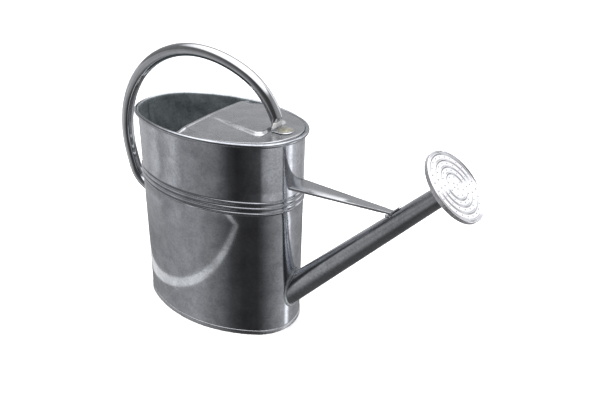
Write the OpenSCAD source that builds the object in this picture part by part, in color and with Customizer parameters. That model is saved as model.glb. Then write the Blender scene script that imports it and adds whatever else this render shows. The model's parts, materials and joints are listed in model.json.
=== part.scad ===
// Galvanised sheet-steel watering can: an oval body with a half hood, a hoop handle of rolled
// tube, a raked spout with a strut, and a rose that pulls off the end of the spout.
// +X points along the spout and +Z up. The origin is the middle of the foot of the body.

/* [Body] */
// Half the length of the oval body, at the outside of its wall
body_half_l = 129; // [105:1:158]
// Half the width of the oval body, at the outside of its wall
body_half_w = 81; // [68:1:98]
// Radius of the rounded ends of the oval
end_r = 63; // [56:1:66]
// Height of the middle of the rolled rim above the ground
body_h = 300; // [250:1:362]
// Thickness of the sheet that everything is made of
sheet_t = 0.8; // [0.6:0.1:1]
// Width of the lap where the two ends of the wall sheet are joined
lap_w = 12; // [8:1:18]

/* [Rim and beads] */
// Diameter of the wire that the rim is rolled around
rim_wire_d = 4.5; // [3:0.5:6]
// Height of the middle one of the three swaged beads
bead_mid_z = 209; // [150:1:215]
// Distance between two beads
bead_pitch = 8; // [7:0.5:10]
// How far a bead stands out of the wall
bead_out = 1.7; // [1:0.1:2.2]
// Radius that a bead is rolled to
bead_r = 3.2; // [2.8:0.1:3.4]

/* [Base] */
// Height of the bottom plate above the ground
base_lift = 9; // [6:0.5:14]
// Height of the seam that folds up round the foot of the wall
seam_h = 7; // [5:0.5:9]

/* [Hood] */
// Distance of the open edge of the hood behind the middle of the body
hood_back = 12; // [0:1:30]
// How far the middle of the hood is crowned above its sides
hood_crown = 3; // [2:0.5:6]
// Depth of the flange that the hood is soldered in by
hood_flange = 9; // [6:1:14]
// Height of the pressed panel in the middle of the hood at its front end
panel_rise = 4; // [2:0.5:6]
// Half the width of the pressed panel at its front end
panel_half_w = 36; // [28:1:38]

/* [Handle] */
// Diameter of the handle tube
handle_d = 18; // [14:1:20]
// Distance of the handle's front foot from the nose of the body
foot_inset = 22; // [19:1:30]
// Radius of the flattened foot
foot_r = 13; // [11:0.5:15]
// Bending radius of the front of the handle, just above its foot
front_r = 100; // [80:1:120]
// Bending radius of the top of the handle, in front of its highest point
top_r = 176; // [150:1:200]
// Bending radius of the long rear side
side_r = 310; // [280:1:340]
// Bending radius of the lower rear corner
corner_r = 40; // [30:1:48]
// Straight piece between the lower rear corner and the wall
rear_leg = 4; // [2:1:12]

/* [Spout] */
// Height at which the middle line of the spout meets the nose of the body
spout_root_z = 65; // [50:1:80]
// Angle of the spout above the horizontal
spout_angle = 46.7; // [42:0.1:52]
// Length of the spout from the nose to its end
spout_len = 299; // [260:1:340]
// Radius of the spout at the nose
spout_root_r = 19.2; // [17:0.1:22]
// Radius of the parallel end of the spout
spout_tip_r = 12.4; // [11:0.1:14]
// Length of the parallel end that the rose pushes on to
spout_tip_len = 15; // [12:1:22]

/* [Strut] */
// Distance along the spout at which the strut is fixed
strut_at = 218; // [180:1:240]
// Height of the strut above the highest bead, at the nose
strut_above_beads = 16; // [12:1:24]
// Half the width of the strut at the nose
strut_root_half = 17; // [12:1:20]
// Half the width of the strut at the spout
strut_tip_half = 4; // [3:0.5:6]
// Depth of the two edges folded down along the strut
strut_fold = 2.6; // [2:0.1:4]

/* [Rose] */
// Radius of the rose
rose_r = 47.7; // [40:0.1:55]
// Depth of the rose from its rim to the back of its dish
rose_depth = 11; // [8:0.5:16]
// Clearance round the spout inside the socket of the rose
rose_fit = 0.05; // [0.02:0.01:0.1]
// Length of the socket that goes over the spout
socket_len = 15; // [12:1:20]
// Diameter of a spray hole
hole_d = 1.6; // [1.2:0.1:2.2]

/* [Hidden] */
$fn = 64;
far_out = 1000;      // larger than the whole object, for cutting tools
reach = 6;           // how far the dividing lines of the oval are carried, in arc centre spacings
tiny = 0.01;

// Four-centre oval: two end arcs and two side arcs that meet smoothly
end_x = body_half_l - end_r;
side_r_oval = (end_x * end_x + body_half_w * body_half_w - end_r * end_r) / (2 * (body_half_w - end_r));
side_y = side_r_oval - body_half_w;
side_half = atan2(end_x, side_y);
end_half = 90 - side_half;

// Rim: the wall sheet is rolled outwards round the wire
curl_r = rim_wire_d / 2 + sheet_t;
curl_x = curl_r - sheet_t;
curl_gap = 0.9;
lap_short = 3;       // the lap stops this far above the bottom plate and below the rim

// Hood: an arched sheet, lowest along the sides of the body
hood_side_z = body_h + 1.5;
hood_top_z = hood_side_z + hood_crown;
arch_steps = 24;
foot_x = body_half_l - foot_inset;
panel_front_x = foot_x - foot_r - 2;
panel_corner_r = 9;
panel_tip_half = 16;
panel_tip_r = 3;
panel_tip_rise = 0.5;

// Handle: five arcs in the plane Y = 0, worked out forwards and backwards from the top
front_turn = 50;
top_turn = 26;
back_turn = 100;
side_turn = 6;
corner_turn = 180 - back_turn - side_turn;
handle_r = handle_d / 2;
tube_sides = 24;
flat_turn = 10;                      // part of the front bend that is flattened into the foot
neck_back = 6;                       // how far the neck of the foot ends behind the middle of the pad
pad_t = 2 * sheet_t;                 // two sheets pressed flat
pad_bed = 0.3;                       // the foot beds this much deeper than the crown of the hood
heel_x = foot_x - 8;                 // where the middle line of the tube meets the foot
heel_z = hood_top_z;
front_from = 90 - top_turn;
front_to = front_from - front_turn;
top_x = heel_x - (top_r - front_r) * cos(front_from) - front_r * cos(front_to);
top_z = heel_z + top_r - (top_r - front_r) * sin(front_from) - front_r * sin(front_to);
top_c = [top_x, top_z - top_r];
front_c = top_c + (top_r - front_r) * [cos(front_from), sin(front_from)];
heel_at = front_to + flat_turn;
heel = front_c + front_r * [cos(heel_at), sin(heel_at)];
pad_z = hood_top_z - pad_bed;
back_to = 90 + back_turn;
side_to = back_to + side_turn;
leg_x = -body_half_l - rear_leg;
back_r = side_r + (leg_x - top_x - (side_r - corner_r) * cos(side_to)) / cos(back_to);
back_c = [top_x, top_z - back_r];
side_c = back_c + (back_r - side_r) * [cos(back_to), sin(back_to)];
corner_c = side_c + (side_r - corner_r) * [cos(side_to), sin(side_to)];
leg_z = corner_c[1] - corner_r;

// Spout: a cone along its own axis, with a parallel end
spout_taper_len = spout_len - spout_tip_len;
spout_dir = [cos(spout_angle), 0, sin(spout_angle)];
spout_start = 40;                    // how far the cone is carried back before the wall trims it
spout_step = (spout_root_r - spout_tip_r) / spout_taper_len;

// Strut: from the nose, above the beads, to the top of the spout
strut_root = [body_half_l, 0, bead_mid_z + bead_pitch + strut_above_beads];
strut_spout_r = spout_root_r - spout_step * strut_at;
strut_tip = [body_half_l, 0, spout_root_z] + strut_at * spout_dir
    + strut_spout_r * [-sin(spout_angle), 0, cos(spout_angle)];
strut_run = strut_tip[0] - strut_root[0];
strut_slope = atan2(strut_tip[2] - strut_root[2], strut_run);
strut_len = strut_run / cos(strut_slope);
strut_tuck = 20;                     // length carried into the wall before the wall trims it
tongue_len = 14;
solder_r = 3;

// Rose: distances along the spout axis, from the nose
socket_from = spout_len - socket_len + 3;
socket_to = socket_from + socket_len;
socket_in = spout_tip_r + rose_fit;
socket_out = socket_in + sheet_t;
rose_back_at = socket_to - sheet_t;
rose_rim_at = rose_back_at + rose_depth;
rose_seat_r = rose_r - 2 * sheet_t;
face_at = rose_rim_at - 2.4;
face_pitch = 8.8;
ridge_out = 0.7;
ridges = [for (i = [0:3]) rose_r - 4 - i * face_pitch];
hole_rings = [for (i = [0:3]) [ridges[i] - face_pitch / 2, [24, 18, 14, 8][i]]];

// One arc of the oval: a full turn of the profile, kept between two lines through the arc centres
module oval_arc(c, turn, r, wedge) {
    intersection() {
        translate([c[0], c[1], 0]) rotate([0, 0, turn]) rotate_extrude() translate([r, 0]) children();
        translate([0, 0, -far_out / 2]) linear_extrude(far_out) polygon(wedge);
    }
}

// A profile drawn as [outwards from the wall, up] carried round the whole oval
module round_oval() {
    for (s = [1, -1]) {
        corner_a = [s * reach * end_x, (reach - 1) * side_y];
        corner_b = [s * reach * end_x, -(reach - 1) * side_y];
        oval_arc([s * end_x, 0], s > 0 ? 180 : 0, end_r, [[s * end_x, 0], corner_a, corner_b])
            children();
        oval_arc([0, -s * side_y], s > 0 ? -90 : 90, side_r_oval,
            [[end_x, 0], [reach * end_x, s * (reach - 1) * side_y],
             [-reach * end_x, s * (reach - 1) * side_y], [-end_x, 0]])
            children();
    }
}

function arc_points(c, r, from, to, steps) =
    [for (i = [0:steps - 1]) c + r * [cos(from + (to - from) * i / steps), sin(from + (to - from) * i / steps)]];

// Outline of the oval, moved outwards by a distance
function oval_points(out) = concat(
    arc_points([end_x, 0], end_r + out, -end_half, end_half, 30),
    arc_points([0, -side_y], side_r_oval + out, 90 - side_half, 90 + side_half, 24),
    arc_points([-end_x, 0], end_r + out, 180 - end_half, 180 + end_half, 30),
    arc_points([0, side_y], side_r_oval + out, 270 - side_half, 270 + side_half, 24));

// Round bar as thick as one end of the body, bead grooves included, that trims what meets the wall
module end_drum(side, grow = 0) {
    translate([side * end_x, 0, 0]) {
        cylinder(r = end_r + grow, h = body_h, $fn = 256);
        for (i = [-1:1]) translate([0, 0, bead_mid_z + i * bead_pitch]) rotate_extrude($fn = 128)
            translate([end_r - bead_r + bead_out, 0]) circle(bead_r);
    }
}

// Places its children on the spout axis, Z along the spout
module on_spout(at = 0) {
    translate([body_half_l, 0, spout_root_z]) rotate([0, 90 - spout_angle, 0])
        translate([0, 0, at]) children();
}

// The outside of the spout as a solid, grown by a distance
module spout_solid(grow = 0) {
    on_spout(-spout_start) cylinder(
        r1 = spout_root_r + spout_step * spout_start + grow,
        r2 = spout_tip_r + grow,
        h = spout_start + spout_taper_len);
    on_spout(spout_taper_len - tiny) cylinder(r = spout_tip_r + grow, h = spout_tip_len + tiny);
}

module wall_profile() {
    difference() {
        union() {
            translate([-sheet_t, sheet_t]) square([sheet_t, body_h - sheet_t]);
            for (i = [-1:1]) intersection() {
                translate([bead_out - bead_r, bead_mid_z + i * bead_pitch]) circle(bead_r);
                translate([-sheet_t, bead_mid_z + i * bead_pitch - bead_r]) square(2 * bead_r);
            }
        }
        for (i = [-1:1]) translate([bead_out - bead_r, bead_mid_z + i * bead_pitch])
            circle(bead_r - sheet_t);
    }
    translate([curl_x, body_h]) difference() {
        circle(curl_r);
        circle(curl_r - sheet_t);
        translate([-curl_r - tiny, -curl_r]) square([sheet_t + curl_gap + tiny, curl_r]);
    }
}

// Wall: one sheet rolled to the oval, lapped at the back, with the rim curl and the beads
module body_shell() {
    lap_turn = lap_w / end_r * 180 / PI;
    color([0.62, 0.64, 0.66]) difference() {
        union() {
            round_oval() wall_profile();
            translate([-end_x, 0, 0]) rotate([0, 0, 180 - lap_turn / 2])
                rotate_extrude(angle = lap_turn)
                    translate([end_r - 2 * sheet_t, base_lift + lap_short])
                        square([1.5 * sheet_t, body_h - base_lift - 2 * lap_short]);
        }
        on_spout(-spout_start) cylinder(r = spout_root_r - 2 * sheet_t, h = 2 * spout_start);
    }
}

// Wire inside the rolled rim
module rim_wire() {
    color([0.5, 0.52, 0.54]) round_oval() translate([curl_x, body_h]) circle(d = rim_wire_d);
}

// Bottom: a pan whose edge runs down inside the wall and folds up round its outside
module base_plate() {
    color([0.58, 0.6, 0.62]) {
        round_oval() {
            translate([-2 * sheet_t, 0]) square([sheet_t, base_lift + sheet_t]);
            translate([-2 * sheet_t, 0]) square([3 * sheet_t, sheet_t]);
            square([sheet_t, seam_h]);
        }
        translate([0, 0, base_lift]) linear_extrude(sheet_t) polygon(oval_points(-1.5 * sheet_t));
    }
}

// Run of solder that seals the bottom plate to the wall from the inside
module base_solder() {
    color([0.72, 0.72, 0.7]) round_oval() translate([-sheet_t, base_lift + sheet_t])
        polygon([[0, 0], [-3, 0], [-1.2, 0.8], [0, 2]]);
}

// Crown line of the hood across the body, moved down by a distance
function arch_points(down) = [for (i = [-arch_steps:arch_steps])
    [1.2 * body_half_w * i / arch_steps, hood_top_z - down - hood_crown * pow(1.2 * i / arch_steps, 2)]];

// Everything below the crown line of the hood
module under_arch(down) {
    edge = 1.2 * body_half_w;
    rotate([90, 0, 90]) linear_extrude(2 * far_out, center = true)
        polygon(concat(arch_points(down), [[edge, body_h - far_out], [-edge, body_h - far_out]]));
}

// Outline of the pressed panel: narrow at the open edge and wide in front of the handle
module panel_block(shrink, low, top) {
    hull() for (side = [-1, 1]) {
        translate([panel_front_x - panel_corner_r, side * (panel_half_w - panel_corner_r), low])
            cylinder(r1 = panel_corner_r - shrink, r2 = panel_corner_r - shrink - 2,
                     h = top - low, $fn = 32);
        translate([-hood_back + 2 + panel_tip_r, side * (panel_tip_half - panel_tip_r), low])
            cylinder(r1 = panel_tip_r - shrink, r2 = panel_tip_r - shrink - 1,
                     h = top - low - panel_rise + panel_tip_rise, $fn = 32);
    }
}

// Hood over the front half: a crowned sheet, flanged down inside the wall
module hood() {
    color([0.66, 0.68, 0.7]) {
        difference() {
            intersection() {
                translate([0, 0, body_h - hood_flange]) linear_extrude(2 * hood_flange)
                    polygon(oval_points(-sheet_t));
                under_arch(0);
            }
            intersection() {
                translate([0, 0, -far_out / 2]) linear_extrude(far_out) polygon(oval_points(-2 * sheet_t));
                under_arch(sheet_t);
            }
            panel_block(sheet_t, hood_side_z - 2, hood_top_z + panel_rise - sheet_t);
            translate([-far_out - hood_back, -far_out / 2, 0]) cube([far_out, far_out, far_out]);
        }
        difference() {
            panel_block(0, hood_side_z, hood_top_z + panel_rise);
            panel_block(sheet_t, hood_side_z - 2, hood_top_z + panel_rise - sheet_t);
            under_arch(sheet_t);
        }
    }
}

// Stations along the middle line of the handle tube: [centre of the bend, its radius, angle]
function stations(c, r, from, to, steps) =
    [for (i = [0:steps - 1]) [c, r, from + (to - from) * i / steps]];

// Ring of points round the tube at one station
function tube_ring(station, rho) = [for (k = [0:tube_sides - 1])
    let (out = station[1] + rho * cos(360 * k / tube_sides))
    [station[0][0] + out * cos(station[2]), rho * sin(360 * k / tube_sides),
     station[0][1] + out * sin(station[2])]];

// Hollow tube through the stations
module tube_along(path) {
    n = len(path);
    m = tube_sides;
    inner = n * m;
    points = concat(
        [for (st = path) for (p = tube_ring(st, handle_r)) p],
        [for (st = path) for (p = tube_ring(st, handle_r - sheet_t)) p]);
    walls = [for (i = [0:n - 2]) for (k = [0:m - 1])
        let (a = i * m + k, b = i * m + (k + 1) % m) [a, a + m, b + m, b]];
    bores = [for (w = walls) [w[3] + inner, w[2] + inner, w[1] + inner, w[0] + inner]];
    ends = [for (i = [0, n - 1]) for (k = [0:m - 1])
        let (a = i * m + k, b = i * m + (k + 1) % m)
        i == 0 ? [a, b, b + inner, a + inner] : [b, a, a + inner, b + inner]];
    polyhedron(points, concat(walls, bores, ends));
}

// Where the front end of the tube is pressed together into its foot
module foot_neck() {
    hull() {
        translate([heel[0], 0, heel[1]]) rotate([0, 180 - heel_at, 0]) translate([0, 0, -sheet_t])
            cylinder(r = handle_r - sheet_t / 2, h = 2 * sheet_t, $fn = 32);
        translate([foot_x - neck_back, 0, pad_z]) cylinder(r = foot_r - neck_back, h = pad_t, $fn = 32);
    }
}

// Handle: a tube rolled from sheet, its two ends pressed flat where they are welded on
module handle() {
    color([0.7, 0.72, 0.74]) {
        tube_along(concat(
            stations(front_c, front_r, heel_at, front_from, 9), stations(top_c, top_r, front_from, 90, 6),
            stations(back_c, back_r, 90, back_to, 18), stations(side_c, side_r, back_to, side_to, 2),
            stations(corner_c, corner_r, side_to, 270, 10),
            [[corner_c, corner_r, 270], [corner_c + [rear_leg - pad_t / 2, 0], corner_r, 270]]));
        difference() {
            union() {
                foot_neck();
                translate([foot_x, 0, pad_z]) cylinder(r = foot_r, h = pad_t + pad_bed);
            }
            under_arch(0);
        }
        intersection() {
            translate([-body_half_l - 4, 0, leg_z]) rotate([0, 90, 0]) cylinder(r = foot_r, h = 12);
            difference() {
                end_drum(-1, pad_t);
                end_drum(-1);
            }
        }
    }
}

// Weld through the front foot into the hood: a low round button
module handle_front_weld() {
    color([0.62, 0.62, 0.56]) difference() {
        translate([foot_x + 5, 0, hood_top_z + pad_t]) rotate_extrude()
            polygon([[0, 0], [6, 0], [5, 0.7], [3, 1.1], [0, 1.2]]);
        foot_neck();
    }
}

// Weld bead round the rear end of the handle
module handle_rear_weld() {
    color([0.62, 0.62, 0.58]) difference() {
        translate([-body_half_l - pad_t - 1.2, 0, leg_z]) rotate([0, 90, 0])
            cylinder(r1 = handle_r + 0.6, r2 = handle_r + 3, h = 4, $fn = 128);
        end_drum(-1, pad_t);
        translate([leg_x - 1, 0, leg_z]) rotate([0, 90, 0]) cylinder(r = handle_r, h = 20, $fn = 128);
    }
}

// Spout: a tapered tube, cut to the curve of the wall, with a parallel end
module spout() {
    color([0.6, 0.62, 0.65]) difference() {
        spout_solid();
        spout_solid(-sheet_t);
        on_spout(spout_len - 1) cylinder(r = spout_tip_r - sheet_t, h = 2);
        end_drum(1);
    }
}

// Fillet of solder round the root of the spout
module spout_solder() {
    color([0.72, 0.73, 0.72]) difference() {
        intersection() {
            on_spout(-spout_start) cylinder(r = spout_root_r + 2.6, h = 2 * spout_start);
            end_drum(1, 1.6);
        }
        end_drum(1);
        spout_solid();
    }
}

// Plan of the strut: straight inside the wall, tapered, then as wide as its tip along the tongue
module strut_plan(inset) {
    end = strut_len + tongue_len;
    root = strut_root_half - inset;
    tip = strut_tip_half - inset;
    linear_extrude(far_out, center = true) polygon([
        [-strut_tuck, root], [0, root], [strut_len, tip], [end, tip],
        [end, -tip], [strut_len, -tip], [0, -root], [-strut_tuck, -root]
    ]);
}

// A side view of the strut, [along it, up], carried across its whole width
module strut_side(points) {
    rotate([90, 0, 0]) linear_extrude(3 * strut_root_half, center = true) polygon(points);
}

// Strut before it is trimmed to the wall: a strip bent up at its end on to the top of the spout
module strut_blank() {
    bend = spout_angle - atan(spout_step) - strut_slope;
    tongue_end = [strut_len, 0] + tongue_len * [cos(bend), sin(bend)];
    translate(strut_root) rotate([0, -strut_slope, 0]) {
        intersection() {
            strut_side([
                [-strut_tuck, 0], [strut_len, 0], tongue_end, tongue_end + sheet_t * [-sin(bend), cos(bend)],
                [strut_len - sheet_t * tan(bend / 2), sheet_t], [-strut_tuck, sheet_t]
            ]);
            strut_plan(0);
        }
        difference() {
            intersection() {
                strut_side([
                    [-strut_tuck, sheet_t / 2], [-strut_tuck, -strut_fold],
                    [strut_len - strut_fold / tan(bend), -strut_fold], [strut_len, 0],
                    [strut_len - sheet_t, sheet_t / 2]
                ]);
                strut_plan(0);
            }
            strut_plan(sheet_t);
        }
    }
}

// Strut: a tapered strip with folded edges and a tongue that lies on the spout
module strut() {
    color([0.6, 0.61, 0.61]) difference() {
        strut_blank();
        end_drum(1);
    }
}

// Solder under the root of the strut, along the wall and between its folded edges
module strut_root_solder() {
    half_turn = asin((strut_root_half - 2 * sheet_t) / end_r);
    color([0.7, 0.71, 0.7]) translate([end_x, 0, strut_root[2] - 0.05]) rotate([0, 0, -half_turn])
        rotate_extrude(angle = 2 * half_turn)
            polygon([[end_r, 0], [end_r, -2.2], [end_r + 0.7, -0.8], [end_r + 2.2, 0]]);
}

// Two drops of solder beside the end of the strut
module strut_tip_solder() {
    color([0.74, 0.75, 0.75]) for (side = [-1, 1]) difference() {
        translate(strut_tip + [-5, side * (strut_tip_half + 0.6), -4]) sphere(solder_r);
        spout_solid();
        strut_blank();
    }
}

// Socket of the rose: a short tube with a beaded lip, a push fit on the spout
module rose_socket() {
    color([0.66, 0.68, 0.7]) on_spout(socket_from) rotate_extrude() {
        translate([socket_in, 0]) square([sheet_t, socket_len]);
        translate([socket_in, 0]) square([2 * sheet_t, 1.5]);
    }
}

// Back of the rose: a shallow dish
module rose_back() {
    color([0.68, 0.7, 0.72]) on_spout(rose_back_at) rotate_extrude() polygon([
        [socket_out, 0], [socket_out + 4, 0], [rose_seat_r, face_at - rose_back_at - 2],
        [rose_seat_r, face_at - rose_back_at], [rose_seat_r - sheet_t, face_at - rose_back_at],
        [rose_seat_r - sheet_t, face_at - rose_back_at - 2 + sheet_t / 2],
        [socket_out + 4 - sheet_t / 2, sheet_t], [socket_out, sheet_t]
    ]);
}

// Face of the rose: a drilled disc with four pressed ridges and a rolled edge
module rose_face() {
    color([0.9, 0.91, 0.92]) on_spout(face_at) difference() {
        rotate_extrude() {
            square([rose_seat_r, sheet_t]);
            for (r = ridges) intersection() {
                translate([r, sheet_t - 1]) circle(1 + ridge_out);
                translate([r - 2, 0]) square(4);
            }
            translate([rose_seat_r, -3]) square([sheet_t, rose_rim_at - face_at + 3 - sheet_t]);
            translate([rose_r - sheet_t, rose_rim_at - face_at - sheet_t]) circle(sheet_t);
        }
        for (ring = hole_rings) for (i = [0:ring[1] - 1]) rotate([0, 0, 360 * i / ring[1]])
            translate([ring[0], 0, -1]) cylinder(d = hole_d, h = 4, $fn = 16);
        for (i = [0:3]) rotate([0, 0, 90 * i]) translate([4, 0, -1]) cylinder(d = hole_d, h = 4, $fn = 16);
    }
}

// Solder between the socket and the back of the rose
module rose_solder() {
    color([0.72, 0.73, 0.72]) on_spout(rose_back_at) rotate_extrude()
        polygon([[socket_out, 0], [socket_out, -2], [socket_out + 0.8, -0.8], [socket_out + 2, 0]]);
}

body_shell();
rim_wire();
base_plate();
base_solder();
hood();
handle();
handle_front_weld();
handle_rear_weld();
spout();
spout_solder();
strut();
strut_root_solder();
strut_tip_solder();
rose_socket();
rose_back();
rose_face();
rose_solder();
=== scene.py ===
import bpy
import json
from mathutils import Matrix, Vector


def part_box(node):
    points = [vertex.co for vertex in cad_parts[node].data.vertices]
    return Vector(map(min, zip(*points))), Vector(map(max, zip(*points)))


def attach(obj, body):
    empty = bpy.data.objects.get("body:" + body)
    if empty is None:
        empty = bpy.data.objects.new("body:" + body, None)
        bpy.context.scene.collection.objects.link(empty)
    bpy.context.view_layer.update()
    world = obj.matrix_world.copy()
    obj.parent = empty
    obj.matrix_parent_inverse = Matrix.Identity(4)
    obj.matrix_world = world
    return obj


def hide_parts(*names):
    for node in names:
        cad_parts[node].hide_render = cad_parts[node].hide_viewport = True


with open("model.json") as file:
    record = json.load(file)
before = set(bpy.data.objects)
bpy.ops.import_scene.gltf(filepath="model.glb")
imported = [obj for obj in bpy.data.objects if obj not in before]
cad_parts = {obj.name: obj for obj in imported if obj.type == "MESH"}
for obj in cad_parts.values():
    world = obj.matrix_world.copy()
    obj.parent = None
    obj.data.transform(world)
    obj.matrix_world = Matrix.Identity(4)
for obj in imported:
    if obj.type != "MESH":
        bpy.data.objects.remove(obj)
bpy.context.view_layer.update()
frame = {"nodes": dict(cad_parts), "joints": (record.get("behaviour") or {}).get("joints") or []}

import json
import math

import bmesh
import bpy
from mathutils import Matrix, Vector

bpy.ops.object.select_all(action="DESELECT")

# ---------------------------------------------------------------------------------------------
# Wall: one galvanised sheet, rolled to an oval of four arcs and soldered where its ends lap at
# the back. Three beads are swaged round it, and its top edge is rolled out round a wire.
mm = 0.001
sheet = 0.8 * mm
rim_r = 3.05 * mm
rim_out = rim_r - sheet
shell_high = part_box("body_shell")[1]
half_long = shell_high.x - rim_out - rim_r
half_wide = shell_high.y - rim_out - rim_r
rim_z = shell_high.z - rim_r
end_r = 63 * mm
end_x = half_long - end_r
side_r = (end_x ** 2 + half_wide ** 2 - end_r ** 2) / (2 * (half_wide - end_r))
side_y = side_r - half_wide
side_half = math.atan2(end_x, side_y)
end_half = math.pi / 2 - side_half
bead_mid = 209 * mm
bead_pitch = 8 * mm
bead_out = 1.7 * mm
bead_half = 3.3 * mm
arc_step = 1.6  # degrees of the oval between two rows of points


def bead_height(z):
    """How far the wall stands out at a height, with the three beads as smooth waves."""
    nearest = min(abs(z - bead_mid - i * bead_pitch) for i in (-1, 0, 1))
    return bead_out * math.cos(min(nearest / bead_half, 1) * math.pi / 2) ** 2


def draw_line(name, points):
    """A new piece, still in edit mode, that is a line drawn by pulling one point along."""
    bpy.ops.mesh.primitive_plane_add(size=mm)
    piece = bpy.context.object
    piece.name = piece.data.name = name
    bpy.ops.object.mode_set(mode="EDIT")
    bpy.ops.mesh.merge(type="CENTER")
    bpy.ops.transform.translate(value=points[0])
    for here, there in zip(points, points[1:]):
        step = Vector(there) - Vector(here)
        bpy.ops.mesh.extrude_vertices_move(TRANSFORM_OT_translate={"value": step})
    bpy.ops.mesh.select_all(action="SELECT")
    return piece


def turn(angle, centre, axis, steps):
    """Spins what is selected by an angle, right-handed about the axis."""
    bpy.ops.mesh.spin(steps=steps, angle=-angle, center=centre, axis=axis)


def oval_start(out, z):
    """A point of a section of the oval, where its front end arc starts."""
    reach = end_r + out
    return (end_x + reach * math.cos(end_half), -reach * math.sin(end_half), z)


def round_the_oval():
    """Carries the drawn section round the front end, left side, rear end and right side."""
    arcs = (
        ((end_x, 0, 0), end_half), ((0, -side_y, 0), side_half),
        ((-end_x, 0, 0), end_half), ((0, side_y, 0), side_half),
    )
    for centre, half in arcs:
        turn(2 * half, centre, (0, 0, 1), round(math.degrees(2 * half) / arc_step))


def finish(piece, crease=40):
    """Closes the seams, turns the faces outwards and shades the piece smoothly."""
    bpy.ops.mesh.select_all(action="SELECT")
    bpy.ops.mesh.remove_doubles(threshold=0.01 * mm)
    bpy.ops.mesh.normals_make_consistent(inside=False)
    bpy.ops.object.mode_set(mode="OBJECT")
    bpy.ops.object.shade_smooth_by_angle(angle=math.radians(crease))
    bpy.ops.object.select_all(action="DESELECT")
    return piece


def steps_between(start, end, count):
    return [start + (end - start) * i / count for i in range(count + 1)]


def linear(code):
    """An sRGB hex colour as the linear colour that a shader takes."""
    parts = [int(code[i:i + 2], 16) / 255 for i in (0, 2, 4)]
    return [p / 12.92 if p <= 0.04045 else ((p + 0.055) / 1.055) ** 2.4 for p in parts] + [1]


def add(tree, kind, sockets={}, links={}, **settings):
    """One node with its settings, socket values and incoming links."""
    made = tree.nodes.new(kind)
    for name, value in settings.items():
        setattr(made, name, value)
    for name, value in sockets.items():
        made.inputs[name].default_value = value
    for name, source in links.items():
        tree.links.new(source, made.inputs[name])
    return made


def galvanised(name, pale, dark, rough=(0.2, 0.34), blotch=0.5, grain=0.5, waves=0.12, bare=1):
    """Hot-dip galvanised steel sheet: a zinc skin with fine crystals and cloudy patches.
    It gives a soft mirror with slightly wandering reflections and a mottled grey. Where bare is
    below 1, part of the zinc is a matt skin, which shows its own grey instead: weathered zinc,
    and also the painted shade inside the can and the painted highlight on the handle's fold."""
    crystal, cloud, speck, ripple = 2.6 * mm, 26 * mm, 3.2 * mm, 22 * mm
    ripple_height, pit_depth = 0.6 * mm, 0.03 * mm
    material = bpy.data.materials.new(name)
    material.use_nodes = True
    tree = material.node_tree
    shader = tree.nodes["Principled BSDF"]
    shader.inputs["Metallic"].default_value = bare
    place = add(tree, "ShaderNodeTexCoord").outputs["Object"]
    crystals = add(tree, "ShaderNodeTexVoronoi", {"Scale": 1 / crystal, "Randomness": 1},
                   {"Vector": place}, feature="F1")
    crystal_shade = add(tree, "ShaderNodeSeparateColor", links={"Color": crystals.outputs["Color"]})
    clouds = add(tree, "ShaderNodeTexNoise",
                 {"Scale": 1 / cloud, "Detail": 5, "Roughness": 0.62, "Distortion": 0.4},
                 {"Vector": place})
    specks = add(tree, "ShaderNodeTexNoise",
                 {"Scale": 1 / speck, "Detail": 4, "Roughness": 0.7}, {"Vector": place})
    cloudy = add(tree, "ShaderNodeMapRange", {"From Min": 0.36, "From Max": 0.66, "To Min": -blotch,
                 "To Max": blotch}, {"Value": clouds.outputs["Fac"]})
    grainy = add(tree, "ShaderNodeMapRange", {"From Min": 0.32, "From Max": 0.68, "To Min": -grain,
                 "To Max": grain}, {"Value": specks.outputs["Fac"]})
    glitter = add(tree, "ShaderNodeMapRange", {"To Min": -0.3 * grain, "To Max": 0.3 * grain},
                  {"Value": crystal_shade.outputs["Red"]})
    mixed = add(tree, "ShaderNodeMath", links={0: cloudy.outputs[0], 1: grainy.outputs[0]},
                operation="ADD")
    summed = add(tree, "ShaderNodeMath", links={0: mixed.outputs[0], 1: glitter.outputs[0]},
                 operation="ADD")
    shade = add(tree, "ShaderNodeMapRange", {"From Min": -1, "From Max": 1},
                {"Value": summed.outputs[0]})
    colour = add(tree, "ShaderNodeValToRGB", links={"Fac": shade.outputs[0]})
    colour.color_ramp.elements[0].color = linear(dark)
    colour.color_ramp.elements[1].color = linear(pale)
    tree.links.new(colour.outputs["Color"], shader.inputs["Base Color"])
    gloss = add(tree, "ShaderNodeMapRange", {"To Min": rough[1], "To Max": rough[0]},
                {"Value": shade.outputs[0]})
    tree.links.new(gloss.outputs[0], shader.inputs["Roughness"])
    squashed = add(tree, "ShaderNodeMapping", {"Scale": (1, 1, 0.3)}, {"Vector": place})
    wander = add(tree, "ShaderNodeTexNoise",
                 {"Scale": 1 / ripple, "Detail": 2, "Roughness": 0.4},
                 {"Vector": squashed.outputs[0]})
    swell = add(tree, "ShaderNodeBump", {"Strength": waves, "Distance": ripple_height},
                {"Height": wander.outputs["Fac"]})
    pits = add(tree, "ShaderNodeBump", {"Strength": 0.1, "Distance": pit_depth},
               {"Height": specks.outputs["Fac"], "Normal": swell.outputs["Normal"]})
    tree.links.new(pits.outputs["Normal"], shader.inputs["Normal"])
    return material


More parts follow.
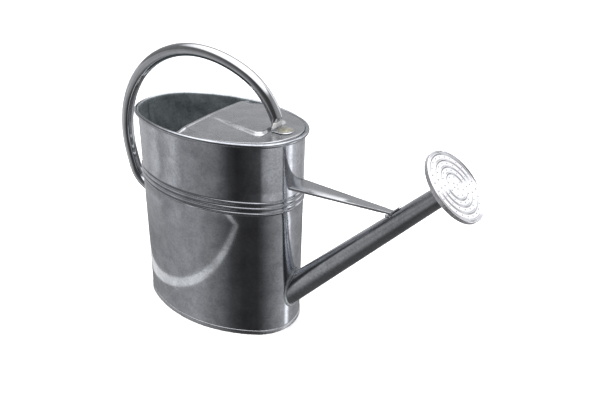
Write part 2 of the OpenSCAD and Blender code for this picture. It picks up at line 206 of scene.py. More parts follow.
wall_from, wall_to = 1 * mm, 297 * mm
beads_from = bead_mid - bead_pitch - bead_half
beads_to = bead_mid + bead_pitch + bead_half
roll_from = math.radians(-137)  # the sheet leaves the wire again under its outer side
wall_heights = (
    steps_between(wall_from, beads_from, 14) + steps_between(beads_from, beads_to, 42)[1:]
    + steps_between(beads_to, wall_to, 6)[1:]
)
outside = [oval_start(bead_height(z), z) for z in wall_heights]
inside = [oval_start(bead_height(z) - sheet, z) for z in reversed(wall_heights)]
roll = [
    oval_start(rim_out + rim_r * math.cos(a), rim_z + rim_r * math.sin(a))
    for a in steps_between(roll_from, math.pi, 22)
]
wall = draw_line("wall", outside + roll + inside + outside[:1])
round_the_oval()
finish(wall, crease=50)
# Fresh zinc outside: a clear, slightly wavy mirror of the surroundings.
wall_steel = galvanised("galvanised_sheet_wall", "cbced3", "95979c",
                        rough=(0.08, 0.14), blotch=0.5, grain=0.4, waves=0.09)
# Zinc inside the can: dull and cloudy, with hardly a reflection, and painted a darker blue-grey as
# shade for the inside of the can.
painted_shade_inside_steel = galvanised("painted_shade_sheet_inside", "a1a9ac", "666e71",
                           rough=(0.4, 0.55), blotch=0.9, grain=0.5, bare=0.45)
wall.data.materials.append(wall_steel)
wall.data.materials.append(painted_shade_inside_steel)
# Painted shade: the faces that look into the can, up to near the top of the roll, take the darker
# inside zinc.
painted_shade_to = rim_z + 0.7 * rim_r
for polygon in wall.data.polygons:
    inmost = Vector((min(max(polygon.center.x, -end_x), end_x), 0, polygon.center.z))
    if polygon.normal.dot(inmost - polygon.center) > 0 and polygon.center.z < painted_shade_to:
        polygon.material_index = 1
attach(wall, "can")
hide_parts("body_shell")

# ---------------------------------------------------------------------------------------------
# Lap: the second thickness of sheet inside the wall, where its two ends are soldered together
# down the middle of the back. It stops short of the bottom and of the rolled rim.
lap_half = math.radians(5.4)  # half of 12 mm round the rear end
lap_inner = end_r - 2 * sheet
lap_outer = end_r - 0.9 * sheet


def lap_point(reach, z):
    """A point at the right-hand edge of the lap."""
    angle = math.pi - lap_half
    return (-end_x + reach * math.cos(angle), reach * math.sin(angle), z)


lap_low, lap_high = 12 * mm, 296 * mm
lap = draw_line("wall_lap", [
    lap_point(lap_outer, lap_low), lap_point(lap_inner, lap_low),
    lap_point(lap_inner, lap_high), lap_point(lap_outer, lap_high), lap_point(lap_outer, lap_low),
])
turn(2 * lap_half, (-end_x, 0, 0), (0, 0, 1), 8)
bpy.ops.mesh.select_all(action="SELECT")
bpy.ops.mesh.fill_holes(sides=4)
finish(lap)
# The lap lies inside the can and takes the same painted shade.
lap.data.materials.append(painted_shade_inside_steel)
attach(lap, "can")

# ---------------------------------------------------------------------------------------------
# Rim wire: plain galvanised wire that the top edge is rolled round. It stays as it is made in
# the frame, because the roll covers it.
# Drawn wire: duller than the sheet, a thin grey line where the roll leaves a gap.
wire_steel = galvanised("galvanised_wire", "8f9194", "66686b", rough=(0.3, 0.42))
wire = frame["nodes"]["rim_wire"]
wire.data.materials.clear()
wire.data.materials.append(wire_steel)

# ---------------------------------------------------------------------------------------------
# Bottom: a pan pressed from the same sheet. Its edge comes down inside the wall, turns under it
# and folds up outside it as a low seam that the can stands on.
seam_top = 7 * mm
plate_z = 9 * mm
seam_out = 0.8 * mm
pan_section = [
    (-0.5 * sheet, plate_z + sheet), (-0.5 * sheet, seam_top), (0.35 * sheet, seam_top),
    (0.8 * sheet, seam_top - 0.2 * mm), (seam_out, seam_top - 0.6 * mm), (seam_out, 0.7 * mm),
    (0.75 * sheet, 0.2 * mm), (0.4 * sheet, 0), (-1.4 * sheet, 0), (-1.8 * sheet, 0.2 * mm),
    (-2 * sheet, 0.7 * mm), (-2 * sheet, plate_z - 1 * mm), (-2.3 * sheet, plate_z - 0.3 * mm),
    (-3 * sheet, plate_z),
]
pan = draw_line("bottom_pan", [oval_start(out, z) for out, z in pan_section])
round_the_oval()
bpy.ops.mesh.select_all(action="SELECT")
bpy.ops.mesh.remove_doubles(threshold=0.01 * mm)
bpy.ops.mesh.select_all(action="DESELECT")
bpy.ops.mesh.select_non_manifold(extend=False, use_wire=False, use_multi_face=False,
                                 use_non_contiguous=False, use_verts=False)
bpy.ops.mesh.edge_face_add()
bpy.ops.mesh.fill_holes(sides=0)
finish(pan)
# Zinc of the seam: paler than the wall, so the foot of the can reads as a light line.
pan.data.materials.append(galvanised("galvanised_sheet_bottom", "d6d7da", "a6a8ab"))
# The top of the plate, inside the can, takes the painted shade of the inside zinc.
pan.data.materials.append(painted_shade_inside_steel)
for polygon in pan.data.polygons:
    polygon.material_index = 1 if polygon.center.z > plate_z - 0.1 * mm else 0
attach(pan, "can")
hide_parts("base_plate")

# ---------------------------------------------------------------------------------------------
# Hood: a half lid stamped from sheet, crowned across the can, with a panel pressed up in its
# middle, a hem along its open edge, and its outer edge turned down and soldered inside the wall.
hood_low, hood_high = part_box("hood")
hood_back = hood_low.x
crown = 3 * mm
panel_rise = 4 * mm
hood_top = hood_high.z - panel_rise
panel_front = 93.5 * mm
panel_tip = -9 * mm
panel_corner = 12 * mm
panel_edge = 5 * mm
panel_lip = 0.25 * mm
hood_round = 2.2 * mm
hood_depth = 9 * mm
hood_reach = -1.1 * sheet
hem_rise, hem_wide = 0.8 * mm, 6 * mm
droop_depth, droop_from = 1.8 * mm, 60 * mm


def ease(t):
    """A step from 0 to 1 with soft ends."""
    t = min(max(t, 0), 1)
    return t * t * (3 - 2 * t)


def panel_height(x, y):
    """How far the pressed panel stands up: narrow and low at the back, wide and high in front."""
    along = (x - panel_tip) / (panel_front - panel_tip)
    half = (15 + 25 * along - 3 * along ** 3) * mm
    side = panel_corner - (half - abs(y))
    front = panel_corner - (panel_front - x)
    inward = panel_corner - math.hypot(max(side, 0), max(front, 0)) if max(side, front) > 0 else 1
    rise = (panel_rise - panel_lip) * (0.2 + 0.8 * ease(along * 1.1))
    lip = panel_lip * math.exp(-((inward - panel_edge) / (1.3 * mm)) ** 2)
    return (rise * ease(inward / panel_edge) + lip) * ease(along / 0.12)


def hood_surface(x, y):
    """Height of the hood: its crown, panel and hem, and the sag of its two rear corners."""
    hem = (hem_rise * ease((x - hood_back) / (1.2 * mm))
           * ease((hood_back + hem_wide - x) / (1.5 * mm)))
    droop = (droop_depth * ease((abs(y) - droop_from) / (17 * mm))
             * ease((28 * mm - x) / (36 * mm)))
    return hood_top - crown * (y / half_wide) ** 2 + panel_height(x, y) + hem - droop


def hood_outline(fraction):
    """A point of the hood's outer edge, from its right rear corner round the nose to the left."""
    reach_side = side_r + hood_reach
    reach_end = end_r + hood_reach
    first = math.acos(min(1, -hood_back / reach_side))
    side_angle = first - (math.pi / 2 - side_half)
    side_run = reach_side * side_angle
    end_run = reach_end * 2 * end_half
    at = fraction * (2 * side_run + end_run)
    if at < side_run:
        angle = -first + at / reach_side
        return Vector((reach_side * math.cos(angle), side_y + reach_side * math.sin(angle)))
    if at > side_run + end_run:
        angle = (math.pi / 2 - side_half) + (at - side_run - end_run) / reach_side
        return Vector((reach_side * math.cos(angle), -side_y + reach_side * math.sin(angle)))
    angle = -end_half + (at - side_run) / reach_end
    return Vector((end_x + reach_end * math.cos(angle), reach_end * math.sin(angle)))


hood_columns = 220
hood_rows = 96
hood_edge_rows = 8
flange_rows = 2
bpy.ops.mesh.primitive_grid_add(
    x_subdivisions=hood_columns, y_subdivisions=hood_rows + hood_edge_rows, size=2)
hood = bpy.context.object
hood.name = hood.data.name = "hood_sheet"
for vertex in hood.data.vertices:
    fraction = (vertex.co.x + 1) / 2
    row = round((vertex.co.y + 1) / 2 * (hood_rows + hood_edge_rows))
    outline = hood_outline(fraction)
    open_edge = Vector((hood_back, outline.y))
    inner = outline.lerp(open_edge, min(1, hood_round / max((open_edge - outline).length, 1e-9)))
    if row <= hood_rows:
        spot = open_edge.lerp(inner, row / hood_rows)
        vertex.co = (spot.x, spot.y, hood_surface(spot.x, spot.y))
        continue
    edge_row = (row - hood_rows) / (hood_edge_rows - flange_rows)
    height = hood_surface(inner.x, inner.y)
    if edge_row <= 1:
        bend = edge_row * math.pi / 2
        spot = inner.lerp(outline, math.sin(bend))
        drop = hood_round * (1 - math.cos(bend))
    else:
        spot = outline
        drop = hood_depth * (row - hood_rows - hood_edge_rows + flange_rows) / flange_rows
    vertex.co = (spot.x, spot.y, height - drop)
bpy.ops.object.mode_set(mode="EDIT")
bpy.ops.mesh.select_all(action="SELECT")
bpy.ops.mesh.remove_doubles(threshold=0.02 * mm)
bpy.ops.mesh.normals_make_consistent(inside=False)
bpy.ops.object.mode_set(mode="OBJECT")
thickness = hood.modifiers.new("sheet", "SOLIDIFY")
thickness.thickness = sheet
thickness.offset = -1
bpy.ops.object.modifier_apply(modifier="sheet")
bpy.ops.object.shade_smooth_by_angle(angle=math.radians(50))
bpy.ops.object.select_all(action="DESELECT")
# Handled zinc of the lid: a blurred mirror, a plain mid grey with soft patches.
hood.data.materials.append(galvanised(
    "galvanised_sheet_hood", "c6c7c9", "9b9da0", rough=(0.2, 0.3), blotch=0.5, grain=0.35))
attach(hood, "can")
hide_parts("hood")

# ---------------------------------------------------------------------------------------------
# Handle: sheet rolled into a tube and bent to a hoop in five bends. Its front end is pressed flat
# into a foot that is welded to the hood, and its rear end runs a short way straight on to the back
# of the wall.
handle_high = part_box("handle")[1]
frame_tube_r = 9 * mm
handle_r = 8.95 * mm
foot_inset, heel_back, rear_leg = 22 * mm, 8 * mm, 4 * mm
front_r, top_r, side_bend_r, corner_r = 100 * mm, 176 * mm, 310 * mm, 40 * mm
front_turn, top_turn, back_turn, side_turn = (math.radians(a) for a in (50, 26, 100, 6))
corner_turn = math.pi - back_turn - side_turn
foot_x = half_long - foot_inset
foot_r = 13 * mm
front_from = math.pi / 2 - top_turn
front_to = front_from - front_turn
top_x = foot_x - heel_back - (top_r - front_r) * math.cos(front_from) - front_r * math.cos(front_to)
top_z = handle_high.z - frame_tube_r
leg_x = -half_long - rear_leg
back_to = math.pi / 2 + back_turn
side_to = back_to + side_turn
back_r = side_bend_r + (
    leg_x - top_x - (side_bend_r - corner_r) * math.cos(side_to)) / math.cos(back_to)


def swing(centre, reach, angle):
    """The point at a reach and angle from a centre, in the plane of the handle."""
    return Vector(centre) + reach * Vector((math.cos(angle), 0, math.sin(angle)))


top_c = Vector((top_x, 0, top_z - top_r))
front_c = swing(top_c, top_r - front_r, front_from)
back_c = Vector((top_x, 0, top_z - back_r))
side_c = swing(back_c, back_r - side_bend_r, back_to)
corner_c = swing(side_c, side_bend_r - corner_r, side_to)
heel_angle = front_to + math.radians(9)
heel = swing(front_c, front_r, heel_angle)
tube_sides = 64
foot_rings = 30
fold_share = 0.6      # part of the foot's rings that lead from the heel to the fold
crease_at, crease_wide = 0.36, 0.17
foot_top = hood_top + 0.9 * mm
pad_half = 1.1 * mm
fold_x = 93.5 * mm


def foot_ring(at):
    """Middle, upward direction, half width, half thickness and crease depth of the foot, from its
    heel (0) over the fold (fold_share) to the tip of the pad (1)."""
    back_from = swing(front_c, front_r - handle_r, heel_angle)
    back_to_fold = Vector((fold_x, 0, foot_top))
    if at < fold_share:
        t = at / fold_share
        flat = t ** 1.5
        thick = handle_r + (pad_half - handle_r) * flat
        ahead = (back_to_fold - back_from).normalized()
        outward = Vector((-ahead.z, 0, ahead.x))
        return (back_from.lerp(back_to_fold, t) + outward * thick, outward,
                handle_r + (foot_r - handle_r) * ease(t), thick, 0.5 * math.sin(math.pi * t ** 0.8))
    reach = math.sin((at - fold_share) / 0.4 * math.pi / 2)
    x = fold_x + pad_half + reach * (foot_x + foot_r - fold_x - pad_half)
    round_off = max(0, (x - foot_x) / foot_r)
    return (Vector((x, 0, foot_top)), Vector((0, 0, 1)),
            foot_r * max(math.sqrt(max(0, 1 - round_off ** 2)), 0.02), pad_half, 0)


bpy.ops.mesh.primitive_circle_add(
    vertices=tube_sides, radius=handle_r, location=heel, rotation=(math.pi / 2, 0, 0))
handle = bpy.context.object
handle.name = handle.data.name = "handle_tube"
bpy.ops.object.transform_apply(location=True, rotation=True, scale=False)
for index, vertex in enumerate(handle.data.vertices):
    around = 2 * math.pi * index / tube_sides
    vertex.co = swing(heel, handle_r * math.cos(around), heel_angle) + Vector(
        (0, handle_r * math.sin(around), 0))
bpy.ops.object.mode_set(mode="EDIT")
bpy.ops.mesh.select_all(action="SELECT")
bends = (
    (front_c, front_from - heel_angle), (top_c, top_turn), (back_c, back_turn), (side_c, side_turn),
    (corner_c, corner_turn),
)
for centre, angle in bends:
    turn(angle, centre, (0, -1, 0), max(4, round(math.degrees(angle) / 2)))
bpy.ops.mesh.extrude_region_move(TRANSFORM_OT_translate={"value": (3.6 * mm, 0, 0)})
bpy.ops.object.mode_set(mode="OBJECT")
mesh = bmesh.new()
mesh.from_mesh(handle.data)
mesh.verts.ensure_lookup_table()
previous = [mesh.verts[i] for i in range(tube_sides)]
for step in range(1, foot_rings + 1):
    centre, upward, wide, thick, dent = foot_ring(step / foot_rings)
    ring = []
    for index in range(tube_sides):
        around = 2 * math.pi * index / tube_sides
        across = math.sin(around)
        lift = math.cos(around)
        if lift > 0:
            lift -= dent * lift * math.exp(-((abs(across) - crease_at) / crease_wide) ** 2)
        spot = centre + upward * thick * lift + Vector((0, wide * across, 0))
        ring.append(mesh.verts.new(spot))
    for a in range(tube_sides):
        b = (a + 1) % tube_sides
        mesh.faces.new((previous[a], previous[b], ring[b], ring[a]))
    previous = ring
mesh.faces.new(previous)
bmesh.ops.recalc_face_normals(mesh, faces=mesh.faces)
mesh.to_mesh(handle.data)
mesh.free()
handle.select_set(True)
bpy.ops.object.shade_smooth_by_angle(angle=math.radians(50))
bpy.ops.object.select_all(action="DESELECT")
# Drawn and dipped tube: the brightest mirror of the can, with hard-edged bands along it.
handle.data.materials.append(galvanised(
    "bright_galvanised_tube", "d4d5d7", "b4b6b9",
    rough=(0.06, 0.1), blotch=0.4, grain=0.2, waves=0.12))
# Zinc tinted by the heat of welding: a matt, speckled and faintly yellow patch on the foot.
handle.data.materials.append(galvanised(
    "heat_tinted_zinc", "aeab9c", "7c7a6e",
    rough=(0.35, 0.5), blotch=0.8, grain=0.9, waves=0.4, bare=0.7))
tint_x = foot_x + 1 * mm
tint_long, tint_wide, tint_high = 9 * mm, 10.5 * mm, 2 * mm
for polygon in handle.data.polygons:
    off = ((polygon.center.x - tint_x) / tint_long) ** 2 + (polygon.center.y / tint_wide) ** 2
    if polygon.center.z < foot_top + tint_high and off < 1:
        polygon.material_index = 1
# Painted highlight where the tube is folded flat: a pale, nearly white and mostly matt crease that
# stands in for the light it catches.
handle.data.materials.append(galvanised(
    "painted_highlight_fold", "fafafa", "c8c9cc",
    rough=(0.25, 0.35), blotch=0.9, grain=0.5, bare=0.25))
# The painted highlight covers the faces of the fold that look forward, between the foot and the
# heel.
fold_low, fold_high = foot_top + 1.5 * mm, heel.z - 3 * mm
for polygon in handle.data.polygons:
    in_fold = fold_low < polygon.center.z < fold_high and polygon.center.x > 0
    if in_fold and polygon.normal.x > 0.2:
        polygon.material_index = 2
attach(handle, "can")
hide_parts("handle")

# ---------------------------------------------------------------------------------------------
# Spout: a cone rolled from sheet with a short parallel end, set at a slant in the nose of the wall.
rose_axis = Vector(frame["joints"][0]["axis"]).normalized()
spout_up = Vector((-rose_axis.z, 0, rose_axis.x))
spout_root = Vector((half_long, 0, 65 * mm))
spout_len = 299 * mm
spout_root_r, spout_tip_r, spout_tip_len = 19.2 * mm, 12.4 * mm, 15 * mm


def on_spout(along, out):
    """A point above the middle line of the spout."""
    return spout_root + rose_axis * along + spout_up * out


def turned_on_spout(name, section, steps=96, crease=40, closed=True):
    """A piece turned round the middle line of the spout from its section."""
    line = [on_spout(along, out) for along, out in section]
    piece = draw_line(name, line + line[:1] if closed else line)
    turn(2 * math.pi, spout_root, rose_axis, steps)
    return finish(piece, crease)


cone_from = -24 * mm
cone_to = spout_len - spout_tip_len
widen = (spout_root_r - spout_tip_r) / cone_to
cone = [(s, spout_root_r - widen * s) for s in steps_between(cone_from, cone_to, 16)]
lip = [(spout_len - 0.3 * mm, spout_tip_r), (spout_len, spout_tip_r - 0.3 * mm),
       (spout_len, spout_tip_r - sheet + 0.2 * mm), (spout_len - 0.2 * mm, spout_tip_r - sheet)]
bore = [(s, r - sheet) for s, r in reversed(cone)]
spout = turned_on_spout("spout_cone", cone + lip + bore)
bpy.ops.mesh.primitive_cylinder_add(vertices=256, radius=end_r - 0.3 * mm, depth=400 * mm,
                                    location=(end_x, 0, 100 * mm))
cutter = bpy.context.object
bpy.context.view_layer.objects.active = spout
trim = spout.modifiers.new("trim", "BOOLEAN")
trim.operation = "DIFFERENCE"
trim.object = cutter
bpy.ops.object.modifier_apply(modifier="trim")
bpy.data.objects.remove(cutter)
bpy.ops.object.select_all(action="DESELECT")
# Zinc of the cone: a soft mirror that turns from light to dark round it.
spout.data.materials.append(galvanised(
    "galvanised_sheet_spout", "cdcfd3", "9c9ea2", rough=(0.16, 0.26), blotch=0.4, grain=0.4))
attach(spout, "can")
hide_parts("spout")

# ---------------------------------------------------------------------------------------------
# Strut: a tapered strip with both edges folded down, soldered to the nose above the beads, and
# bent up at its thin end into a tongue that lies on the spout.
strut_root = Vector((half_long, 0, 233 * mm))
strut_at = 218 * mm
strut_tip = on_spout(strut_at, spout_root_r - widen * strut_at)
strut_run = strut_tip - strut_root
strut_wide, strut_thin, strut_fold, strut_bend = 17 * mm, 4 * mm, 2.6 * mm, 0.7 * mm
strut_section = [
    (-strut_wide, -strut_fold), (-strut_wide, -strut_bend),
    (-strut_wide + 0.3 * strut_bend, -0.3 * strut_bend), (-strut_wide + strut_bend, 0), (0, 0),
    (strut_wide - strut_bend, 0), (strut_wide - 0.3 * strut_bend, -0.3 * strut_bend),
    (strut_wide, -strut_bend), (strut_wide, -strut_fold),
]
on_top = Vector((0, 0, sheet))
strut = draw_line("strut_strip",
                  [strut_root + on_top + Vector((0, y, z)) for y, z in strut_section])
stretches = 12
last_stretch = 0.985  # the strip ends just short of the spout's skin
tongue_len = 14 * mm
for i in range(stretches):
    share = 1 if i < stretches - 1 else last_stretch
    bpy.ops.mesh.extrude_region_move(
        TRANSFORM_OT_translate={"value": strut_run * share / stretches})
    here = strut_wide + (strut_thin - strut_wide) * i / stretches
    there = strut_wide + (strut_thin - strut_wide) * (i + 1) / stretches
    bpy.ops.transform.resize(value=(1, there / here, 1), center_override=(0, 0, 0))
tongue = strut_tip + on_top * 0.6
bpy.ops.transform.resize(value=(1, 1, 0.25), center_override=tongue)
bpy.ops.mesh.extrude_region_move(TRANSFORM_OT_translate={"value": rose_axis * tongue_len})
bpy.ops.transform.resize(value=(1, 0.8, 1), center_override=(0, 0, 0))
bpy.ops.object.mode_set(mode="OBJECT")
for vertex in strut.data.vertices:
    if vertex.co.x < half_long + 1 * mm:
        vertex.co.x = end_x + math.sqrt(end_r ** 2 - vertex.co.y ** 2) - 0.1 * mm
thickness = strut.modifiers.new("sheet", "SOLIDIFY")
thickness.thickness = sheet
thickness.offset = -1
bpy.ops.object.modifier_apply(modifier="sheet")
bpy.ops.object.mode_set(mode="EDIT")
finish(strut, crease=35)
# Zinc of the strip: even and satin, a shade darker than the can.
strut.data.materials.append(galvanised(
    "galvanised_strip_strut", "bfc0c2", "a1a3a6", rough=(0.2, 0.28), blotch=0.3, grain=0.3))
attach(strut, "can")
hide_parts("strut")

# ---------------------------------------------------------------------------------------------
# Rose: a spun dish with a short socket that pushes over the end of the spout, closed by a pressed
# face with four ridges and rings of drilled holes between them.
rose_r = 47.7 * mm
rose_solder_at = spout_len + 3 * mm
socket_from = rose_solder_at - 15 * mm
socket_in = spout_tip_r + 0.05 * mm
socket_out = socket_in + sheet
dish_at = rose_solder_at - sheet
rose_front = dish_at + 11 * mm
face_at = rose_front - 2.4 * mm
seat_r = rose_r - 2 * sheet
# Thin bright zinc of the rose: pale and satin, lighter than the spout.
bright_zinc = galvanised("bright_zinc_rose", "dcdddf", "c0c2c5",
                         rough=(0.22, 0.3), blotch=0.3, grain=0.2, bare=0.8)
socket = turned_on_spout("rose_socket_tube", [
    (socket_from + 0.3 * mm, socket_in), (socket_from, socket_in + 0.4 * mm),
    (socket_from + 0.2 * mm, socket_out + 0.6 * mm),
    (socket_from + 0.75 * mm, socket_out + 0.8 * mm),
    (socket_from + 1.3 * mm, socket_out + 0.6 * mm),
    (socket_from + 1.6 * mm, socket_out + 0.1 * mm), (socket_from + 2 * mm, socket_out),
    (rose_solder_at, socket_out), (rose_solder_at, socket_in),
])
socket.data.materials.append(bright_zinc)
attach(socket, "rose")
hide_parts("rose_socket")

dish_rim = face_at - 2 * mm
dish = turned_on_spout("rose_dish", [
    (dish_at, socket_out), (dish_at + 0.1 * mm, socket_out + 3 * mm),
    (dish_at + 0.8 * mm, socket_out + 6 * mm), (dish_rim - 1.6 * mm, seat_r - 4 * mm),
    (dish_rim - 0.5 * mm, seat_r - 0.8 * mm), (dish_rim + 0.3 * mm, seat_r),
    (face_at, seat_r), (face_at, seat_r - sheet), (dish_rim + 0.6 * mm, seat_r - sheet),
    (dish_at + 1.6 * mm, socket_out + 6 * mm), (dish_at + sheet, socket_out + 2 * mm),
    (dish_at + sheet, socket_out),
])
dish.data.materials.append(bright_zinc)
# Painted shade inside the rose, where no light comes: the zinc there is painted nearly black, so
# that the holes read as dots.
rose_painted_shade = galvanised("painted_shade_in_rose", "4a4c4e", "2a2b2d", rough=(0.5, 0.6))
dish.data.materials.append(rose_painted_shade)
# The dish's faces that look inwards or forwards take the painted shade.
for polygon in dish.data.polygons:
    on_axis = on_spout((polygon.center - spout_root).dot(rose_axis), 0)
    faces_axis = polygon.normal.dot(on_axis - polygon.center) > 0
    faces_front = polygon.normal.dot(rose_axis) > 0.3
    polygon.material_index = 1 if faces_axis or faces_front else 0
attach(dish, "rose")
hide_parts("rose_back")

ridge_pitch = 8.8 * mm
ridge_out = 1.1 * mm
ridges = [rose_r - 4 * mm - i * ridge_pitch for i in range(4)]


def face_height(out):
    """The pressed ridges of the rose's face, as soft waves."""
    nearest = min(abs(out - ridge) for ridge in ridges)
    return ridge_out * math.cos(min(nearest / (2 * mm), 1) * math.pi / 2) ** 2


reaches = steps_between(0.05 * mm, rose_r - 1.9 * mm, 92)
face_line = [(face_at + sheet + face_height(out), out) for out in reaches]
face_edge = [(face_at + sheet + 0.2 * mm, rose_r - 1.7 * mm)] + [
    (rose_front - sheet + sheet * math.sin(a), rose_r - sheet + sheet * math.cos(a))
    for a in steps_between(math.radians(150), 0, 8)
] + [(face_at - 3 * mm, rose_r), (face_at - 3 * mm, seat_r), (face_at, seat_r)]
face_back = [(face_at + face_height(out), out) for out in reversed(reaches)]
rose_face = turned_on_spout("rose_face_sheet", face_line + face_edge + face_back, closed=False)
hole_r = 0.8 * mm
holes = [(ridge - ridge_pitch / 2, count) for ridge, count in zip(ridges, (24, 18, 14, 8))]
holes.append((4 * mm, 4))
turned = rose_axis.to_track_quat("Z", "Y").to_matrix().to_4x4()
drills = []
for ring, count in holes:
    for i in range(count):
        angle = 2 * math.pi * i / count
        side = turned @ Vector((ring * math.cos(angle), ring * math.sin(angle), 0))
        spot = on_spout(face_at, 0) + side
        bpy.ops.mesh.primitive_cylinder_add(vertices=12, radius=hole_r, depth=6 * mm,
                                            location=spot, rotation=turned.to_euler())
        drills.append(bpy.context.object)
bpy.ops.object.select_all(action="DESELECT")
for drill in drills:
    drill.select_set(True)
bpy.context.view_layer.objects.active = drills[0]
bpy.ops.object.join()
drill = bpy.context.object
bpy.context.view_layer.objects.active = rose_face
cut = rose_face.modifiers.new("holes", "BOOLEAN")
cut.operation = "DIFFERENCE"
cut.object = drill
bpy.ops.object.modifier_apply(modifier="holes")
bpy.data.objects.remove(drill)
bpy.ops.object.select_all(action="DESELECT")
# Pressed zinc of the face: the palest sheet, nearly white with grey arcs along its ridges.
rose_face.data.materials.append(galvanised(
    "bright_zinc_face", "ebebee", "d6d7da",
    rough=(0.16, 0.22), blotch=0.2, grain=0.2, bare=0.92))
rose_face.data.materials.append(rose_painted_shade)
# The back of the face, inside the rose, takes the painted shade.
for polygon in rose_face.data.polygons:
    along = (polygon.center - spout_root).dot(rose_axis)
    faces_back = polygon.normal.dot(rose_axis) < -0.6
    polygon.material_index = 1 if faces_back and along > face_at - mm else 0
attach(rose_face, "rose")
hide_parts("rose_face")

# ---------------------------------------------------------------------------------------------
# Solder and welds: wiped tin solder at the joints of the can and the rose, and two zinc-dipped
# welds that hold the handle. They keep the shapes of the frame.
def dull_metal(name, pale, dark, rough):
    """Wiped solder or a dipped weld: lumpy, dull and faintly yellow or blue where it was heated."""
    return galvanised(name, pale, dark, rough=rough, blotch=0.7, grain=0.8, waves=0.6, bare=0.6)


solder = dull_metal("wiped_tin_solder", "b3b5b6", "7b7e80", (0.3, 0.45))
weld = dull_metal("zinc_dipped_weld", "b5b2a2", "6f6c60", (0.35, 0.55))
for name in ("base_solder", "spout_solder", "strut_root_solder", "strut_tip_solder", "rose_solder"):
    frame["nodes"][name].data.materials.clear()
    frame["nodes"][name].data.materials.append(solder)
for name in ("handle_front_weld", "handle_rear_weld"):
    frame["nodes"][name].data.materials.clear()
    frame["nodes"][name].data.materials.append(weld)

# ---------------------------------------------------------------------------------------------
# Stage: a plain white floor that the zinc does not mirror, and a studio that lights the can and
# shows in it, set in seven bands of height. The camera itself sees a plain pale background.
bpy.ops.mesh.primitive_circle_add(vertices=64, radius=12, fill_type="NGON")
floor = bpy.context.object
floor.name = "floor"
paint = bpy.data.materials.new("white_floor")
paint.use_nodes = True
paint_shader = paint.node_tree.nodes["Principled BSDF"]
paint_shader.inputs["Base Color"].default_value = (0.93, 0.93, 0.93, 1)
paint_shader.inputs["Roughness"].default_value = 1
paint_shader.inputs["Specular IOR Level"].default_value = 0
floor.data.materials.append(paint)
floor.visible_glossy = False

world = bpy.data.worlds.new("studio")
bpy.context.scene.world = world
world.use_nodes = True
sky = world.node_tree
sky.nodes.clear()
where = add(sky, "ShaderNodeTexCoord").outputs["Generated"]
parts = add(sky, "ShaderNodeSeparateXYZ", links={"Vector": where})
turned_to = add(sky, "ShaderNodeMath", links={0: parts.outputs["Y"], 1: parts.outputs["X"]},
                operation="ARCTAN2")
compass = add(sky, "ShaderNodeMapRange", {"From Min": -math.pi, "From Max": math.pi},
              {"Value": turned_to.outputs[0]})


def panorama(stops):
    """Brightness of the studio by compass direction, in degrees from the spout's direction."""
    ramp = add(sky, "ShaderNodeValToRGB", links={"Fac": compass.outputs[0]})
    elements = ramp.color_ramp.elements
    while len(elements) < len(stops):
        elements.new(0.5)
    for element, (bearing, level) in zip(elements, stops):
        element.position = (bearing + 180) / 360
        element.color = (level, level, level * 1.02, 1)
    return ramp.outputs["Color"]


below = panorama([(-180, 0.07), (180, 0.07)])
low = panorama([
    (-180, 0.26), (-150, 0.30), (-122, 0.30), (-108, 0.22), (-97, 0.13), (-88, 0.06), (-76, 0.03),
    (-60, 0.03), (-46, 0.06), (-30, 0.13), (0, 0.26), (20, 0.40), (26, 1.3), (31, 1.3), (37, 0.4),
    (60, 0.28), (85, 0.25), (105, 0.16), (140, 0.16), (180, 0.26),
])
halfway = panorama([
    (-180, 0.40), (-168, 0.52), (-160, 0.30), (-142, 0.52), (-134, 0.28), (-118, 0.24),
    (-98, 0.17), (-88, 0.05), (-80, 0.02), (-66, 0.05), (-52, 0.07), (-44, 0.3), (-30, 0.44),
    (3, 0.46), (20, 0.6), (26, 1.3), (32, 1.3), (38, 0.6), (53, 0.5), (75, 0.36), (120, 0.4),
    (180, 0.40),
])
air = panorama([
    (-180, 0.42), (-150, 0.34), (-130, 0.2), (-105, 0.1), (-90, 0.04), (-50, 0.04), (-35, 0.3),
    (10, 0.6), (30, 0.6), (42, 0.08), (72, 0.08), (84, 0.3), (112, 0.34), (140, 0.4),
    (180, 0.42),
])
tent = panorama([
    (-180, 0.16), (-130, 0.12), (-90, 0.05), (-50, 0.04), (-35, 0.2), (10, 0.3), (44, 0.3),
    (50, 0.85), (76, 0.85), (88, 0.4), (105, 0.34), (145, 0.34), (165, 0.2), (180, 0.16),
])
high = panorama([
    (-180, 0.9), (-150, 0.9), (-60, 0.9), (-20, 0.3), (45, 0.2), (55, 0.7), (85, 1.2),
    (160, 1.2), (180, 0.6),
])
overhead = panorama([(-180, 1.4), (180, 1.4)])
sight = below
bands = (
    (-0.95, -0.62, low), (-0.49, -0.43, halfway), (-0.28, -0.18, air), (0.02, 0.12, tent),
    (0.58, 0.7, high), (0.7, 0.82, overhead),
)
for fades_from, fades_to, band in bands:
    step = add(sky, "ShaderNodeMapRange", {"From Min": fades_from, "From Max": fades_to},
               {"Value": parts.outputs["Z"]})
    sight = add(sky, "ShaderNodeMix", {}, {0: step.outputs[0], 6: sight, 7: band},
                data_type="RGBA").outputs[2]
seen = add(sky, "ShaderNodeBackground", {"Color": (0.95, 0.95, 0.95, 1), "Strength": 1})
mirrored = add(sky, "ShaderNodeBackground", {"Strength": 1.6}, {"Color": sight})
eye = add(sky, "ShaderNodeLightPath")
choice = add(sky, "ShaderNodeMixShader", {}, {0: eye.outputs["Is Camera Ray"],
             1: mirrored.outputs[0], 2: seen.outputs[0]})
add(sky, "ShaderNodeOutputWorld", links={"Surface": choice.outputs[0]})

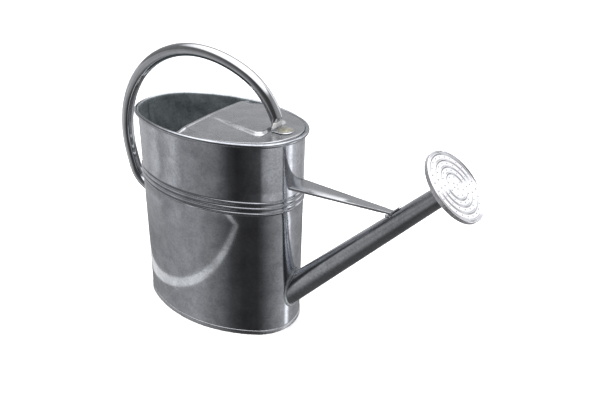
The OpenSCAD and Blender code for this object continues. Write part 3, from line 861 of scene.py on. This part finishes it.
# A long narrow light lies on the ground in front of the can, and shows as a curve in its wall.
bpy.ops.mesh.primitive_plane_add(size=1)
strip = bpy.context.object
strip.name = "strip_light"
strip_far, strip_near = Vector((-0.32, 0.135, 0.0)), Vector((0.135, -0.397, 0.0))
half_strip = Vector((0.759, 0.649, 0)) * 13 * mm
above_floor = Vector((0, 0, 1 * mm))
strip_corners = (strip_far - half_strip, strip_far + half_strip,
                 strip_near - half_strip, strip_near + half_strip)
for vertex, spot in zip(strip.data.vertices, strip_corners):
    vertex.co = spot + above_floor
glow = bpy.data.materials.new("strip_glow")
glow.use_nodes = True
glow.node_tree.nodes.clear()
strip_place = add(glow.node_tree, "ShaderNodeTexCoord")
strip_parts = add(glow.node_tree, "ShaderNodeSeparateXYZ",
                  links={"Vector": strip_place.outputs["Object"]})
fade = add(glow.node_tree, "ShaderNodeMapRange",
           {"From Min": strip_near.y, "From Max": -0.16, "To Min": 0.3, "To Max": 1.15},
           {"Value": strip_parts.outputs["Y"]})
shine = add(glow.node_tree, "ShaderNodeEmission", links={"Strength": fade.outputs[0]})
add(glow.node_tree, "ShaderNodeOutputMaterial", links={"Surface": shine.outputs[0]})
strip.data.materials.append(glow)
strip.visible_camera = False
strip.visible_diffuse = False
strip.visible_shadow = False

key_data = bpy.data.lights.new("overhead", "AREA")
key_data.shape = "DISK"
key_data.size = 3
key_data.energy = 90
key = bpy.data.objects.new("overhead", key_data)
key.location = (0.1, 0, 2.6)
key.visible_glossy = False
bpy.context.scene.collection.objects.link(key)

# ---------------------------------------------------------------------------------------------
# Camera: above the can, in front and to the right of its middle, slightly rolled.
azimuth, elevation, roll_angle = (math.radians(a) for a in (30.5944, 27.6251, 1.9569))
toward = Vector((math.sin(azimuth) * math.cos(elevation), -math.cos(azimuth) * math.cos(elevation),
                 math.sin(elevation)))
level = Vector((math.cos(azimuth), math.sin(azimuth), 0))
upright = toward.cross(level)
right = math.cos(roll_angle) * level + math.sin(roll_angle) * upright
top = -math.sin(roll_angle) * level + math.cos(roll_angle) * upright
aim = Vector((0, 0, 150 * mm))
distance, shift_right, shift_up = 961.26, 115.89, 18.21  # mm from the aim
eye_point = aim + toward * distance * mm + right * shift_right * mm + top * shift_up * mm
camera_data = bpy.data.cameras.new("camera")
camera_data.sensor_width = 36
camera_data.lens = 38.588
camera = bpy.data.objects.new("camera", camera_data)
bpy.context.scene.collection.objects.link(camera)
camera.matrix_world = Matrix((
    (right.x, top.x, toward.x, eye_point.x), (right.y, top.y, toward.y, eye_point.y),
    (right.z, top.z, toward.z, eye_point.z), (0, 0, 0, 1)))
bpy.context.scene.camera = camera
bpy.context.scene.view_settings.view_transform = "Standard"
